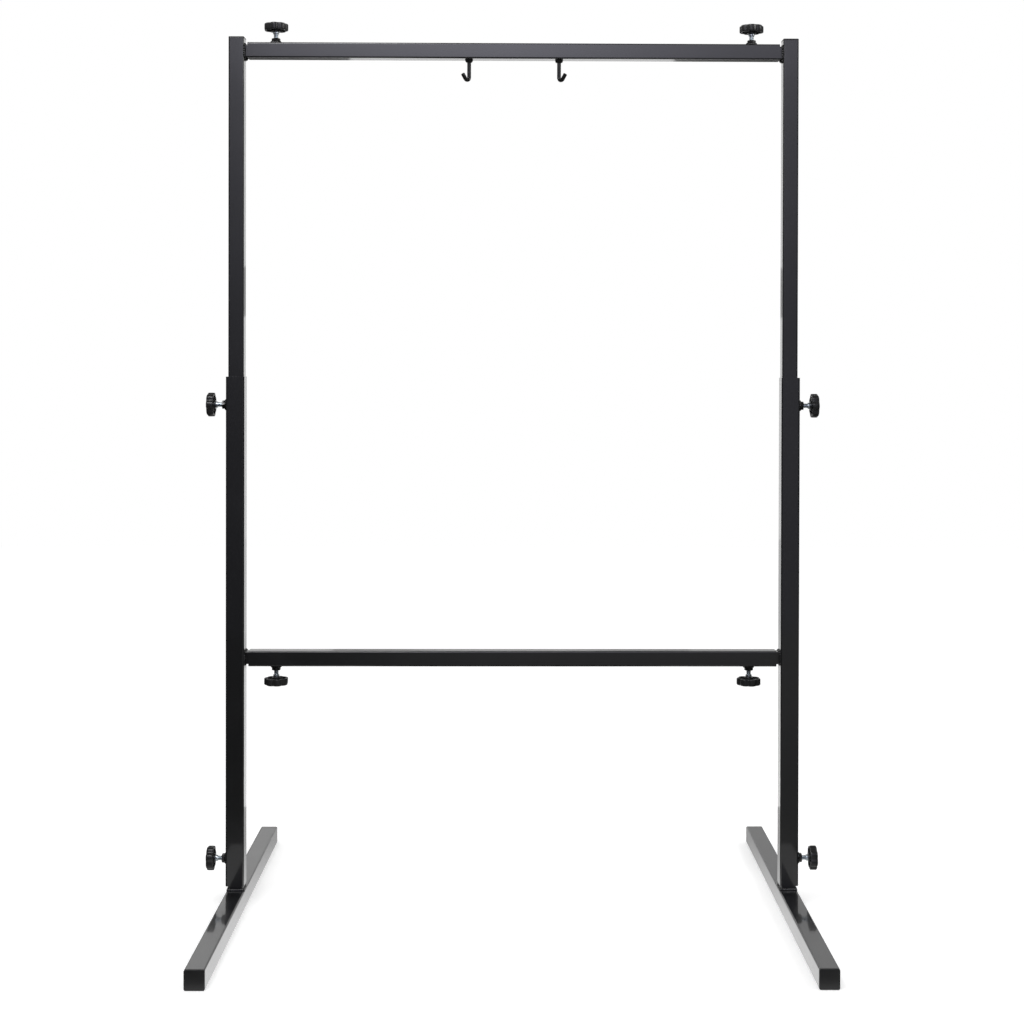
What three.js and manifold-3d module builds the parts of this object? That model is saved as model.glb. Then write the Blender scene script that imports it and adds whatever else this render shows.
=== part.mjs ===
// A height-adjustable floor stand for a large gong, in black square steel tube.
// Two floor feet carry two lower legs, and two thinner upper legs slide inside them.
// A top bar with two hooks and a lower bar join the sides, and eight star knobs clamp it all.
// Millimetres, +Z up, +X to the right as seen from the front, and the front faces -Y.
// The origin is on the floor, midway between the feet.

import * as THREE from "three";
import { mergeVertices } from "three/addons/utils/BufferGeometryUtils.js";
import Module from "manifold-3d";

const wasm = await Module();
wasm.setup();

// Overall sizes
const legSpacing = 1146;
const footLength = 950;
const lowerLegLength = 1052;
const upperLegLength = 950;
const upperLegInsertion = 253;
const legAboveFoot = 10;
const lowerBarRise = 454;
const topBarDrop = 8.5;
const topBarEndGap = 7;
const lowerBarEndGap = 8.5;
const spigotHeight = 110;
const stubLength = 100;

// Square tubes: the outer side, the wall and the outside corner radius of each
const legSide = 38;
const legWall = 1.5;
const legCorner = 2.5;
const slideSide = 32;
const slideWall = 1.5;
const slideCorner = 2.5;
const barSide = 32;
const barWall = 1.5;
const barCorner = 2.5;
const stubSide = 26;
const stubWall = 1.5;
const stubCorner = 2;

// Clearances: between pieces that touch, of a screw in its thread, and of a screw in a wall
const seatGap = 0.1;
const threadGap = 0.2;
const holeGap = 0.8;
const overrun = 5;

// End caps
const legCapFlange = 3;
const footCapFlange = 4.5;
const capEdge = 1;
const capPlugDepth = 14;
const capPlugWall = 1.6;
const capPlugCorner = 1;
const capRibHeight = 0.5;
const capRibs = 2;

// Clamp places: along each leg, and along each bar from the leg's inner face
const heightClampDrop = 58;
const footClampRise = 54;
const barClampReach = 64;

// Clamp nut, welded over its hole
const nutFlats = 17;
const nutHeight = 9.5;
const nutChamfer = 1;
const nutWeldRadius = 12.4;
const nutWeldRise = 6;

// Star knob: a screw with a plain collar, moulded into a lobed grip
const studDiameter = 10;
const studFreeLength = 28;
const studEmbed = 11;
const studTipChamfer = 1.2;
const collarDiameter = 12.6;
const collarHeight = 5;
const gripDiameter = 50;
const gripLobes = 7;
const gripLobeDepth = 3.2;
const gripRimHeight = 13;
const gripCrownHeight = 2.8;
const gripEdge = 1.4;
const gripShoulder = 3;
const hubDiameter = 19;
const hubHeight = 2;

// Weld beads round the spigots and stubs
const spigotWeldWidth = 3;
const spigotWeldRise = 6;
const stubWeldWidth = 3.4;
const stubWeldRise = 4;
const weldPitch = 7;

// Gong hooks, bent from round rod and welded under the top bar
const hookSpacing = 186;
const hookRod = 8;
const hookDrop = 46.5;
const hookBendRadius = 6;
const hookTipLength = 12;
const hookWeldRadius = 8.7;
const hookWeldRise = 7;
const hookTipElevation = 50;
const hookTurnOut = 46;

// Shapes of curved profiles, as shares of the sizes that they follow
const weldRippleShare = 0.16;
const weldBellyShare = 0.5;
const weldWaistShare = 0.84;
const nutCrownShare = 0.94;
const scallopSharpness = 2;
const crownShoulderShare = 0.55;
const crownRimShare = 0.85;
const crownScallopShare = 0.8;
const crownFlatShare = 0.4;
const capRoundShare = 0.3;

// How far each pair of knobs stands turned at rest, as shares of one lobe
const heightSpinShare = 0.25;
const footSpinShare = 0.6;
const topSpinShare = 0.1;
const lowerSpinShare = 0.45;

// Facets
const cornerFacets = 3;
const insideFacets = 1;
const roundFacets = 16;
const lobeFacets = 5;
const rodFacets = 14;
const bendFacets = 8;
const rippleFacets = 2;
const mergeDistance = 1e-5;

// Where things lie, worked out from the sizes above
const legPlay = (legSide - 2 * legWall - slideSide) / 2 - seatGap;
const barPlay = (barSide - 2 * barWall - stubSide) / 2 - seatGap;
const legX = legSpacing / 2;
const slideX = legX - legPlay;
const legInnerFace = legX - legSide / 2;
const legOuterFace = legX + legSide / 2;
const slideInnerFace = slideX - slideSide / 2;
const footTop = legSide;
const legBottom = footTop + legAboveFoot;
const legTop = legBottom + lowerLegLength;
const upperLegBottom = legTop - upperLegInsertion;
const upperLegTop = upperLegBottom + upperLegLength;
const lowerBarZ = legBottom + lowerBarRise + barSide / 2;
const topBarZ = upperLegTop - topBarDrop - barSide / 2;
const lowerBarLength = 2 * (legInnerFace - lowerBarEndGap);
const topBarLength = 2 * (slideInnerFace - topBarEndGap);
const legClampDepth = legWall + 2 * legPlay;
const barClampDepth = barWall + 2 * barPlay;
const threadBore = studDiameter / 2 + threadGap;
const clampHole = studDiameter / 2 + holeGap;

const paint = new THREE.MeshStandardMaterial({ color: 0x1d1e21, roughness: 0.3 });
const gripPlastic = new THREE.MeshStandardMaterial({ color: 0x161618, roughness: 0.35 });
const capPlastic = new THREE.MeshStandardMaterial({ color: 0x1b1b1d, roughness: 0.5 });
const zinc = new THREE.MeshStandardMaterial({ color: 0xc3c9cc, roughness: 0.25, metalness: 1 });

// A closed geometry as a solid that can be cut and joined, and back again.
function solidOf(geometry) {
  const bare = geometry.index ? geometry.toNonIndexed() : geometry.clone();
  bare.deleteAttribute("normal");
  bare.deleteAttribute("uv");
  const merged = mergeVertices(bare, mergeDistance);
  const vertProperties = merged.getAttribute("position").array;
  const triVerts = new Uint32Array(merged.index.array);
  return new wasm.Manifold(new wasm.Mesh({ numProp: 3, vertProperties, triVerts }));
}

function geometryOf(solid) {
  const mesh = solid.getMesh();
  const geometry = new THREE.BufferGeometry();
  geometry.setAttribute("position", new THREE.BufferAttribute(mesh.vertProperties, 3));
  geometry.setIndex(new THREE.BufferAttribute(mesh.triVerts, 1));
  geometry.computeVertexNormals();
  return geometry;
}

function join(first, second) {
  return geometryOf(solidOf(first).add(solidOf(second)));
}

function cut(first, second) {
  return geometryOf(solidOf(first).subtract(solidOf(second)));
}

function common(first, second) {
  return geometryOf(solidOf(first).intersect(solidOf(second)));
}

// The points of a square with round corners, anticlockwise about the origin.
function squareOutline(side, corner, facets = cornerFacets) {
  const reach = side / 2 - corner;
  const centres = [
    [reach, reach],
    [-reach, reach],
    [-reach, -reach],
    [reach, -reach],
  ];
  return centres.flatMap(([x, y], quarter) =>
    Array.from({ length: facets + 1 }, (_, step) => {
      const angle = ((quarter + step / facets) * Math.PI) / 2;
      return new THREE.Vector2(x + corner * Math.cos(angle), y + corner * Math.sin(angle));
    }),
  );
}

// A full square bar that stands on the origin and runs up along +Z.
function squareBar(side, corner, length) {
  const shape = new THREE.Shape(squareOutline(side, corner));
  return new THREE.ExtrudeGeometry(shape, { depth: length, bevelEnabled: false });
}

// The same bar as a tube. The inside corner is the outside one less the wall, while that is left.
function squareTube(side, wall, corner, length) {
  const shape = new THREE.Shape(squareOutline(side, corner));
  const innerCorner = Math.max(corner - wall, wall / 2);
  shape.holes.push(new THREE.Path(squareOutline(side - 2 * wall, innerCorner, insideFacets)));
  return new THREE.ExtrudeGeometry(shape, { depth: length, bevelEnabled: false });
}

function indexed(positions, faces) {
  const geometry = new THREE.BufferGeometry();
  geometry.setAttribute("position", new THREE.Float32BufferAttribute(positions, 3));
  geometry.setIndex(faces);
  return geometry;
}

function middleOf(ring) {
  const sum = ring.reduce((total, point) => total.add(point), new THREE.Vector3());
  return sum.divideScalar(ring.length);
}

// Rings of as many points each, anticlockwise as seen from the last, joined into one skin.
// Both end rings are flat, and a fan of faces about the middle closes each.
function skinOf(rings) {
  const count = rings[0].length;
  const last = (rings.length - 1) * count;
  const lowMiddle = last + count;
  const highMiddle = lowMiddle + 1;
  const points = [...rings.flat(), middleOf(rings[0]), middleOf(rings.at(-1))];
  const positions = points.flatMap((point) => [point.x, point.y, point.z]);
  const faces = [];
  for (let low = 0; low < last; low += count) {
    for (let step = 0; step < count; step += 1) {
      const next = (step + 1) % count;
      faces.push(low + step, low + next, low + count + next);
      faces.push(low + step, low + count + next, low + count + step);
    }
  }
  for (let step = 0; step < count; step += 1) {
    const next = (step + 1) % count;
    faces.push(lowMiddle, next, step);
    faces.push(highMiddle, last + step, last + next);
  }
  return indexed(positions, faces);
}

// A solid with a square section whose side and corner radius change with height.
function squareLoft(facets, levels) {
  return skinOf(
    levels.map(({ z, side, corner }) =>
      squareOutline(side, corner, facets).map((point) => new THREE.Vector3(point.x, point.y, z)),
    ),
  );
}

// A round solid about +Z, from [radius, height] points that run up from the axis and back to it.
function turned(profile) {
  const points = profile.map(([radius, height]) => new THREE.Vector2(radius, height));
  return new THREE.LatheGeometry(points, roundFacets).rotateX(Math.PI / 2);
}

function pin(radius, low, high) {
  return turned([
    [0, low],
    [radius, low],
    [radius, high],
    [0, high],
  ]);
}

// A clamp hole through one wall of a square tube, the one on +X or the one on -X.
function wallHole(side, wall, toward, height) {
  return pin(clampHole, side / 2 - wall - overrun, side / 2 + overrun)
    .rotateY((toward * Math.PI) / 2)
    .translate(0, 0, height);
}

// A rippled bead of weld round a square tube that stands on a face at z = 0.
// It runs on below that face, where it is trimmed to the tube that it sits on.
function weldBead(side, wall, corner, width, rise) {
  const ripples = Math.round((4 * side) / weldPitch);
  const count = ripples * rippleFacets;
  const path = new THREE.Path(squareOutline(side, corner));
  path.closePath();
  const section = [
    [-wall / 2, -rise],
    [width, -rise],
    [width, 0],
    [width * weldBellyShare, rise * weldBellyShare],
    [-wall / 2, rise],
  ];
  const positions = [];
  const faces = [];
  for (let step = 0; step < count; step += 1) {
    const share = step / count;
    const at = path.getPointAt(share);
    const along = path.getTangentAt(share);
    const swell = 1 + weldRippleShare * Math.cos(2 * Math.PI * ripples * share);
    for (const [reach, height] of section) {
      const out = reach > 0 ? reach * swell : reach;
      positions.push(at.x + along.y * out, at.y - along.x * out, height * swell);
    }
    const here = step * section.length;
    const there = ((step + 1) % count) * section.length;
    for (let point = 0; point < section.length; point += 1) {
      const next = (point + 1) % section.length;
      faces.push(here + point, there + point, there + next);
      faces.push(here + point, there + next, here + next);
    }
  }
  return indexed(positions, faces);
}

// A short tube welded on end to a larger one, whose top face is at z = 0 and which lies along X.
function weldedTube(tube, length, weld, base) {
  const shoulder = (base.side - tube.side) / 2;
  const width = Math.min(weld.width, shoulder / (1 + weldRippleShare));
  const below = weld.rise * (1 + weldRippleShare);
  const shaft = squareTube(tube.side, tube.wall, tube.corner, length + below);
  const bead = weldBead(tube.side, tube.wall, tube.corner, width, weld.rise);
  const trimLength = tube.side + 2 * (weld.width + overrun);
  const trim = squareBar(base.side + 2 * seatGap, base.corner + seatGap, trimLength)
    .translate(0, 0, -trimLength / 2)
    .rotateY(Math.PI / 2)
    .translate(0, 0, -base.side / 2);
  return cut(join(shaft.translate(0, 0, -below), bead), trim);
}

// A hex nut on end, with chamfered corners, in a cone of weld that rises from z = 0.
function weldedNut() {
  const corners = nutFlats / Math.sqrt(3);
  const hex = new THREE.CylinderGeometry(corners, corners, nutHeight - seatGap, 6)
    .rotateX(Math.PI / 2)
    .translate(0, 0, (nutHeight + seatGap) / 2);
  const envelope = turned([
    [0, 0],
    [corners + nutChamfer, 0],
    [corners + nutChamfer, nutHeight - nutChamfer],
    [(nutFlats / 2) * nutCrownShare, nutHeight],
    [0, nutHeight],
  ]);
  const weld = turned([
    [0, seatGap],
    [nutWeldRadius, seatGap],
    [nutWeldRadius * weldWaistShare, nutWeldRise * weldBellyShare],
    [nutFlats / 2, nutWeldRise],
    [0, nutWeldRise],
  ]);
  const bore = pin(threadBore, -overrun, nutHeight + overrun);
  return cut(join(common(hex, envelope), weld), bore);
}

// The knob's screw, with the grip's hub above z = 0 and the tip below it.
function studShape() {
  const radius = studDiameter / 2;
  return turned([
    [0, -studFreeLength],
    [radius - studTipChamfer, -studFreeLength],
    [radius, studTipChamfer - studFreeLength],
    [radius, -collarHeight],
    [collarDiameter / 2, -collarHeight],
    [collarDiameter / 2, 0],
    [radius, 0],
    [radius, studEmbed],
    [0, studEmbed],
  ]);
}

// One ring of the grip's outline. Its scallops go to the given share of their full depth.
function lobedRing(radius, height, scallopShare) {
  return Array.from({ length: gripLobes * lobeFacets }, (_, step) => {
    const turn = (step + 0.5) / lobeFacets;
    const hollow = ((1 - Math.cos(2 * Math.PI * turn)) / 2) ** scallopSharpness;
    const reach = radius - gripLobeDepth * scallopShare * hollow;
    const angle = (2 * Math.PI * turn) / gripLobes;
    return new THREE.Vector3(reach * Math.cos(angle), reach * Math.sin(angle), height);
  });
}

// The grip, from its hub at z = 0 out to its crown, with a blind hole for the screw.
function gripShape() {
  const radius = gripDiameter / 2;
  const rim = hubHeight + gripRimHeight;
  const body = skinOf([
    lobedRing(radius - gripEdge, hubHeight, 1),
    lobedRing(radius, hubHeight + gripEdge, 1),
    lobedRing(radius, rim, 1),
    lobedRing(radius - gripShoulder / 2, rim + gripCrownHeight * crownShoulderShare, 1),
    lobedRing(radius - 2 * gripShoulder, rim + gripCrownHeight * crownRimShare, crownScallopShare),
    lobedRing(radius * crownFlatShare, rim + gripCrownHeight, 0),
  ]);
  const hub = pin(hubDiameter / 2, seatGap, rim);
  return cut(join(body, hub), pin(studDiameter / 2 + seatGap, -overrun, studEmbed + seatGap));
}

// A push-in cap: a flange as wide as the tube above z = 0, and a hollow ribbed plug below.
function capShape(side, wall, corner, flange) {
  const ribSide = side - 2 * (wall + seatGap);
  const plugSide = ribSide - 2 * capRibHeight;
  const ribPitch = capPlugDepth / (capRibs + 1);
  const rest = { side: plugSide, corner: capPlugCorner };
  const ribs = Array.from({ length: capRibs }, (_, rib) => (rib + 1) * ribPitch - capPlugDepth);
  const plug = squareLoft(insideFacets, [
    { ...rest, z: -capPlugDepth },
    ...ribs.flatMap((z) => [
      { ...rest, z, side: ribSide },
      { ...rest, z: z + seatGap },
    ]),
    { ...rest, z: flange / 2 },
  ]);
  const cover = squareLoft(cornerFacets, [
    { z: seatGap, side, corner },
    { z: flange - capEdge, side, corner },
    { z: flange - capEdge * capRoundShare, side: side - 2 * capEdge * capRoundShare, corner },
    { z: flange, side: side - 2 * capEdge, corner: corner - capEdge },
  ]);
  const hollowSide = plugSide - 2 * capPlugWall;
  const hollow = squareLoft(insideFacets, [
    { z: -capPlugDepth - overrun, side: hollowSide, corner: capPlugCorner },
    { z: 0, side: hollowSide, corner: capPlugCorner },
  ]);
  return cut(join(cover, plug), hollow);
}

// One ring of a hook's rod, where it has turned by so much from hanging straight down to +X.
function rodRing(x, z, turn) {
  return Array.from({ length: rodFacets }, (_, step) => {
    const angle = (2 * Math.PI * step) / rodFacets;
    const reach = (hookRod / 2) * Math.cos(angle);
    const across = (hookRod / 2) * Math.sin(angle);
    return new THREE.Vector3(x + reach * Math.cos(turn), -across, z + reach * Math.sin(turn));
  });
}

// A hook that hangs from z = 0, its tip bent up towards +X, with a cone of weld at its root.
function hookShape() {
  const shank = hookDrop - hookRod / 2 - hookBendRadius;
  const sweep = Math.PI / 2 + THREE.MathUtils.degToRad(hookTipElevation);
  const bendX = (turn) => hookBendRadius * (1 - Math.cos(turn));
  const bendZ = (turn) => -shank - hookBendRadius * Math.sin(turn);
  const turns = Array.from({ length: bendFacets + 1 }, (_, step) => (sweep * step) / bendFacets);
  const tipX = bendX(sweep) + hookTipLength * Math.sin(sweep);
  const tipZ = bendZ(sweep) - hookTipLength * Math.cos(sweep);
  const rod = skinOf([
    rodRing(0, 0, 0),
    ...turns.map((turn) => rodRing(bendX(turn), bendZ(turn), turn)),
    rodRing(tipX, tipZ, sweep),
  ]);
  const weld = turned([
    [0, -hookWeldRise],
    [hookRod / 2, -hookWeldRise],
    [hookWeldRadius * weldWaistShare, -hookWeldRise * weldBellyShare],
    [hookWeldRadius, 0],
    [0, 0],
  ]);
  return join(rod, weld).translate(0, 0, -seatGap);
}

function named(name, geometry, material) {
  const mesh = new THREE.Mesh(geometry, material);
  mesh.name = name;
  return mesh;
}

const legTube = { side: legSide, wall: legWall, corner: legCorner };
const slideTube = { side: slideSide, wall: slideWall, corner: slideCorner };
const stubTube = { side: stubSide, wall: stubWall, corner: stubCorner };
const stubWeld = { width: stubWeldWidth, rise: stubWeldRise };
const spigotWeld = { width: spigotWeldWidth, rise: spigotWeldRise };

const nut = weldedNut();
const stud = studShape();
const grip = gripShape();
const hook = hookShape();
const legCap = capShape(slideSide, slideWall, slideCorner, legCapFlange);
const footCap = capShape(legSide, legWall, legCorner, footCapFlange);
const spigot = weldedTube(slideTube, spigotHeight, spigotWeld, legTube);
const lowerStub = weldedTube(stubTube, stubLength, stubWeld, legTube);
const topStub = weldedTube(stubTube, stubLength, stubWeld, slideTube);
const footTube = squareTube(legSide, legWall, legCorner, footLength - 2 * footCapFlange);
const upperLeg = squareTube(slideSide, slideWall, slideCorner, upperLegLength);

// A lower leg, with a clamp hole near each end of its outer wall.
function lowerLegShape(side) {
  const tube = squareTube(legSide, legWall, legCorner, lowerLegLength);
  const footHole = wallHole(legSide, legWall, side, footClampRise);
  const heightHole = wallHole(legSide, legWall, side, lowerLegLength - heightClampDrop);
  return cut(cut(tube, footHole), heightHole);
}

// A crossbar, with a clamp hole near each end of the wall that faces the knobs.
function crossbarShape(length, clampX, toward) {
  const tube = squareTube(barSide, barWall, barCorner, length);
  const near = wallHole(barSide, barWall, toward, length / 2 - clampX);
  const far = wallHole(barSide, barWall, toward, length / 2 + clampX);
  return cut(cut(tube, near), far);
}

// A nut on a tube's face and the knob in it, screwed in until its tip meets the tube inside.
function addClamp(frame, name, place, turn, depth, spin) {
  const clamp = new THREE.Group();
  clamp.position.copy(place);
  clamp.rotation.copy(turn);
  clamp.add(named(`${name}_nut`, nut, paint));
  const knob = new THREE.Group();
  knob.position.z = studFreeLength - depth;
  knob.rotation.z = (spin * 2 * Math.PI) / gripLobes;
  knob.add(named(`${name}_knob_stud`, stud, zinc));
  knob.add(named(`${name}_knob_grip`, grip, gripPlastic));
  clamp.add(knob);
  frame.add(clamp);
}

// One foot: the floor tube, its two caps, and the spigot that takes the leg.
function addFoot(frame, name, side) {
  const tubeEnd = footLength / 2 - footCapFlange;
  const tube = named(`${name}_foot_tube`, footTube, paint);
  tube.rotation.x = -Math.PI / 2;
  tube.position.set(side * slideX, -tubeEnd, legSide / 2);
  const frontCap = named(`${name}_foot_front_cap`, footCap, capPlastic);
  frontCap.rotation.x = Math.PI / 2;
  frontCap.position.set(side * slideX, -tubeEnd, legSide / 2);
  const rearCap = named(`${name}_foot_rear_cap`, footCap, capPlastic);
  rearCap.rotation.x = -Math.PI / 2;
  rearCap.position.set(side * slideX, tubeEnd, legSide / 2);
  const post = named(`${name}_foot_spigot`, spigot, paint);
  post.rotation.z = Math.PI / 2;
  post.position.set(side * slideX, 0, footTop);
  frame.add(tube, frontCap, rearCap, post);
}

// One lower leg with its stub for the lower bar and its two clamps.
function addLowerLeg(frame, name, side) {
  const leg = named(`${name}_lower_leg`, lowerLegShape(side), paint);
  leg.position.set(side * legX, 0, legBottom);
  const stubPiece = named(`${name}_lower_stub`, lowerStub, paint);
  stubPiece.rotation.y = (-side * Math.PI) / 2;
  stubPiece.position.set(side * legInnerFace, 0, lowerBarZ + barPlay);
  frame.add(leg, stubPiece);
  const outward = new THREE.Euler(0, (side * Math.PI) / 2, 0);
  const heightClamp = new THREE.Vector3(side * legOuterFace, 0, legTop - heightClampDrop);
  const footClamp = new THREE.Vector3(side * legOuterFace, 0, legBottom + footClampRise);
  addClamp(frame, `${name}_height`, heightClamp, outward, legClampDepth, heightSpinShare);
  addClamp(frame, `${name}_foot`, footClamp, outward, legClampDepth, footSpinShare);
}

// One upper leg with its cap and its stub for the top bar.
function addUpperLeg(frame, name, side) {
  const leg = named(`${name}_upper_leg`, upperLeg, paint);
  leg.position.set(side * slideX, 0, upperLegBottom);
  const cap = named(`${name}_upper_leg_cap`, legCap, capPlastic);
  cap.position.set(side * slideX, 0, upperLegTop);
  const stubPiece = named(`${name}_top_stub`, topStub, paint);
  stubPiece.rotation.y = (-side * Math.PI) / 2;
  stubPiece.position.set(side * slideInnerFace, 0, topBarZ - barPlay);
  frame.add(leg, cap, stubPiece);
}

function addCrossbar(frame, name, shape, length, z) {
  const bar = named(name, shape, paint);
  bar.rotation.y = Math.PI / 2;
  bar.position.set(-length / 2, 0, z);
  frame.add(bar);
}

function addHook(frame, name, side) {
  const piece = named(`${name}_hook`, hook, paint);
  const outward = side > 0 ? 0 : Math.PI;
  piece.rotation.z = outward - side * THREE.MathUtils.degToRad(hookTurnOut);
  piece.position.set((side * hookSpacing) / 2, 0, topBarZ - barSide / 2);
  frame.add(piece);
}

const stand = new THREE.Group();
const lowerFrame = new THREE.Group();
const upperFrame = new THREE.Group();
stand.add(lowerFrame, upperFrame);

const lowerClampX = legInnerFace - barClampReach;
const topClampX = slideInnerFace - barClampReach;
const upward = new THREE.Euler(0, 0, 0);
const downward = new THREE.Euler(Math.PI, 0, 0);
const lowerBar = crossbarShape(lowerBarLength, lowerClampX, 1);
const topBar = crossbarShape(topBarLength, topClampX, -1);
addCrossbar(lowerFrame, "lower_crossbar", lowerBar, lowerBarLength, lowerBarZ);
addCrossbar(upperFrame, "top_crossbar", topBar, topBarLength, topBarZ);
for (const [name, side] of [
  ["left", -1],
  ["right", 1],
]) {
  addFoot(lowerFrame, name, side);
  addLowerLeg(lowerFrame, name, side);
  addUpperLeg(upperFrame, name, side);
  addHook(upperFrame, name, side);
  const topClamp = new THREE.Vector3(side * topClampX, 0, topBarZ + barSide / 2);
  const lowerClamp = new THREE.Vector3(side * lowerClampX, 0, lowerBarZ - barSide / 2);
  addClamp(upperFrame, `${name}_top_bar`, topClamp, upward, barClampDepth, topSpinShare);
  addClamp(lowerFrame, `${name}_lower_bar`, lowerClamp, downward, barClampDepth, lowerSpinShare);
}

export default stand;
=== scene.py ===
# %% [markdown]
# # A gong stand in black square tube
# The stand is a frame of square steel tube with a glossy black coating, held together by eight star knobs.
# Its working shape is already made and packed. This lesson loads that shape, then models each piece again
# with the finish that a close look asks for: round tube corners, rippled welds, threads and moulded grips.

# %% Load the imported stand
import math
import random

import bmesh
import bpy
from mathutils import Matrix, Vector


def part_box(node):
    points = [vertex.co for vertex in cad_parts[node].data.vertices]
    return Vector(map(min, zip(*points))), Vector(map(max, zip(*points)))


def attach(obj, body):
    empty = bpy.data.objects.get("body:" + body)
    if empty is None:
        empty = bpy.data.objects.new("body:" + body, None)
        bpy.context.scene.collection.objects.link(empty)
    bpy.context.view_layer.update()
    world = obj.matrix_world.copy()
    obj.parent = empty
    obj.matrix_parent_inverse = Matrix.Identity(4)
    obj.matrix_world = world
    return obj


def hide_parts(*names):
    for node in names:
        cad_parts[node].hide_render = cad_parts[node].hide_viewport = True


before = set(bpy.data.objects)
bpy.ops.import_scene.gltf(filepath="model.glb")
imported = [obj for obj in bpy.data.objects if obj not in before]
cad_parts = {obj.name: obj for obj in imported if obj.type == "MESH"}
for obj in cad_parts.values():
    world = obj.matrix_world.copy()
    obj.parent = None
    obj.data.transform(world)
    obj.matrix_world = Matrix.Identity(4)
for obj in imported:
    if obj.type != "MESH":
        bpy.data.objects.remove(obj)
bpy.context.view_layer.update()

# %% [markdown]
# ## The camera
# The photograph was taken almost level, from a little over half the stand's height, so the legs stay
# upright in the picture. A camera that looks nearly straight ahead gives that, and a small downward shift
# of its sensor frames the feet without tilting it. The last small turns follow the lean of the photograph.

# %% Camera
PIXELS_ACROSS = 1024
view = bpy.data.cameras.new("studio_camera")
view.sensor_width = 36
view.lens = 59.6
view.shift_x = -16.3 / PIXELS_ACROSS
view.shift_y = -130.4 / PIXELS_ACROSS
camera = bpy.data.objects.new("studio_camera", view)
camera.location = (-0.006, -3.513, 1.1216)
camera.rotation_euler = (math.radians(89.5), math.radians(-0.13), math.radians(-0.6))
bpy.context.collection.objects.link(camera)
bpy.context.scene.camera = camera
print("camera at", [round(v, 3) for v in camera.location], "with a", view.lens, "mm lens")

# %% [markdown]
# ## Hands for modelling
# Every piece starts as a primitive at the origin, standing along +Z, and is shaped in edit mode. An
# operator works on whatever is selected, so each step first selects what it needs by its place or normal.
# Sizes are written in millimetres and turned into metres by the constant below.

# %% Start, select and finish
MM = 0.001


def start(add, **how):
    """Adds one primitive at the origin, with nothing else selected, and opens it for editing."""
    bpy.ops.object.select_all(action="DESELECT")
    add(location=(0, 0, 0), **how)
    bpy.ops.object.mode_set(mode="EDIT")
    bpy.ops.mesh.select_all(action="SELECT")
    return bpy.context.object


def pick(kind, test):
    """Selects the vertices, edges or faces that pass a test, and says how many there are."""
    kinds = ("VERT", "EDGE", "FACE")
    bpy.context.tool_settings.mesh_select_mode = tuple(kind == k for k in kinds)
    bpy.ops.mesh.select_all(action="DESELECT")
    mesh = bmesh.from_edit_mesh(bpy.context.edit_object.data)
    parts = {"VERT": mesh.verts, "EDGE": mesh.edges, "FACE": mesh.faces}[kind]
    found = [part for part in parts if test(part)]
    for part in found:
        part.select_set(True)
    mesh.select_flush_mode()
    bmesh.update_edit_mesh(bpy.context.edit_object.data)
    return len(found)


def stretch(x, y, z):
    """Scales the selection about the origin."""
    bpy.ops.transform.resize(value=(x, y, z), center_override=(0, 0, 0))


def shift(x, y, z):
    """Moves the selection."""
    bpy.ops.transform.translate(value=(x, y, z))


def close(angle=35):
    """Merges doubles, turns the faces outward and leaves edit mode, smooth but for edges past the angle."""
    bpy.ops.mesh.select_all(action="SELECT")
    bpy.ops.mesh.remove_doubles(threshold=1e-6)
    bpy.ops.mesh.normals_make_consistent(inside=False)
    bpy.ops.object.mode_set(mode="OBJECT")
    bpy.ops.object.shade_smooth_by_angle(angle=math.radians(angle))
    return bpy.context.object


def take(*pieces):
    """Selects some pieces and nothing else, with the first of them active."""
    bpy.ops.object.select_all(action="DESELECT")
    for piece in pieces:
        piece.select_set(True)
    bpy.context.view_layer.objects.active = pieces[0]


def apply_modifier(piece, kind, **settings):
    """Adds one modifier to a piece and applies it."""
    take(piece)
    modifier = piece.modifiers.new(kind.lower(), kind)
    for name, value in settings.items():
        setattr(modifier, name, value)
    bpy.ops.object.modifier_apply(modifier=modifier.name)
    return piece


def fuse(pieces):
    """Joins loose pieces into the first of them."""
    take(*pieces)
    bpy.ops.object.join()
    return pieces[0]


print("helpers ready")

# %% [markdown]
# A pattern piece is modelled once and then set in place as often as the stand needs it. Each copy keeps a
# note of where its points lay before it was turned, in an attribute named `made_at`, so that a finish such
# as turning marks follows the piece and not the room.

# %% Set a finished piece in place
def settle(pattern, name, where, body, slot, finish, *nodes):
    """Copies a pattern to its place on a body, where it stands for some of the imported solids."""
    piece = pattern.copy()
    piece.data = pattern.data.copy()
    piece.name = name
    piece.data.name = name
    bpy.context.collection.objects.link(piece)
    made_at = piece.data.attributes.new("made_at", "FLOAT_VECTOR", "POINT")
    places = [value for vertex in piece.data.vertices for value in vertex.co]
    made_at.data.foreach_set("vector", places)
    piece.data.transform(where)
    piece.data.materials.clear()
    piece.data.materials.append(finish)
    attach(piece, body)
    if nodes:
        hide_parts(*nodes)


def middle(node):
    """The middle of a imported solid."""
    low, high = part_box(node)
    return (low + high) / 2


def spare(*patterns):
    """Takes the patterns away once all their copies are in place."""
    for pattern in patterns:
        bpy.data.objects.remove(pattern)


print("left hook's middle:", [round(v, 3) for v in middle("left_hook")])

# %% [markdown]
# ## Finishes
# A sprayed coat is never perfectly flat: it flows out in low waves, and a little dust settles in it. One
# node group gives every finish on the stand that unevenness, each with its own size and depth. It puts out
# a colour, a roughness and a height, and the shader stays in the material.

# %% A group for uneven surfaces
# A Mix node keeps sockets for every type of data. These are the places of its colour sockets.
COLOUR_A, COLOUR_B, COLOUR_OUT = 6, 7, 2


def socket(group, name, way, kind, value=None):
    """Adds one named input or output to a node group."""
    made = group.interface.new_socket(name=name, in_out=way, socket_type=kind)
    if value is not None:
        made.default_value = value


def link(tree, pairs):
    """Joins each pair of sockets, a source and its target."""
    for source, target in pairs:
        tree.links.new(source, target)


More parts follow.
